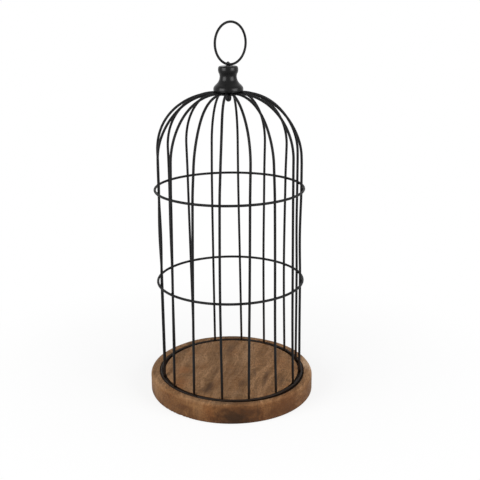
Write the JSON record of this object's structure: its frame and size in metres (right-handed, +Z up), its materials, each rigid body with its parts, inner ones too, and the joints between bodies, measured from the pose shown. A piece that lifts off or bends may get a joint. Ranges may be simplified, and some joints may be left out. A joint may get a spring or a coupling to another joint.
{
  "type": "bird cage on stand",
  "caption": "Decorative domed wire bird cage that lifts off a grooved round wooden board, with a turned finial and a carrying ring.",
  "frame": {"origin": "centre of the wooden board's underside, where the object stands", "axes": "+Z up along the cage's axis, through board, crown and finial; the first bar is 8 degrees to the left of the front (-Y)"},
  "size_m": [0.203, 0.203, 0.4497],
  "materials": {
    "brown_wood": "oiled, matt, mottled brown",
    "black_wire": "satin black powder coat",
    "black_finial": "satin black paint",
    "black_fittings": "satin black paint"
  },
  "bodies": {
    "board": {"base_board": "brown_wood"},
    "cage": {"bar_01": "black_wire", "bar_02": "black_wire", "bar_03": "black_wire", "bar_04": "black_wire", "bar_05": "black_wire", "bar_06": "black_wire", "bar_07": "black_wire", "bar_08": "black_wire", "bar_09": "black_wire", "bar_10": "black_wire", "bar_11": "black_wire", "bar_12": "black_wire", "bar_13": "black_wire", "bar_14": "black_wire", "bar_15": "black_wire", "bar_16": "black_wire", "upper_hoop": "black_wire", "lower_hoop": "black_wire", "base_hoop": "black_wire", "crown_hub": "black_fittings", "crown_washer": "black_fittings", "finial": "black_finial", "eye_bolt": "black_fittings", "cap_nut": "black_fittings"},
    "carrying_ring": {"top_ring": "black_wire"}
  },
  "joints": [
    {"name": "cage_lift", "type": "slide", "parent": "board", "child": "cage", "axis": [0, 0, 1], "range_m": [0, 0.15]},
    {"name": "ring_swing", "type": "hinge", "parent": "cage", "child": "carrying_ring", "pos_m": [0, 0, 0.4016], "axis": [0.7443, 0.6678, 0], "range_deg": [-96, 96]}
  ]
}
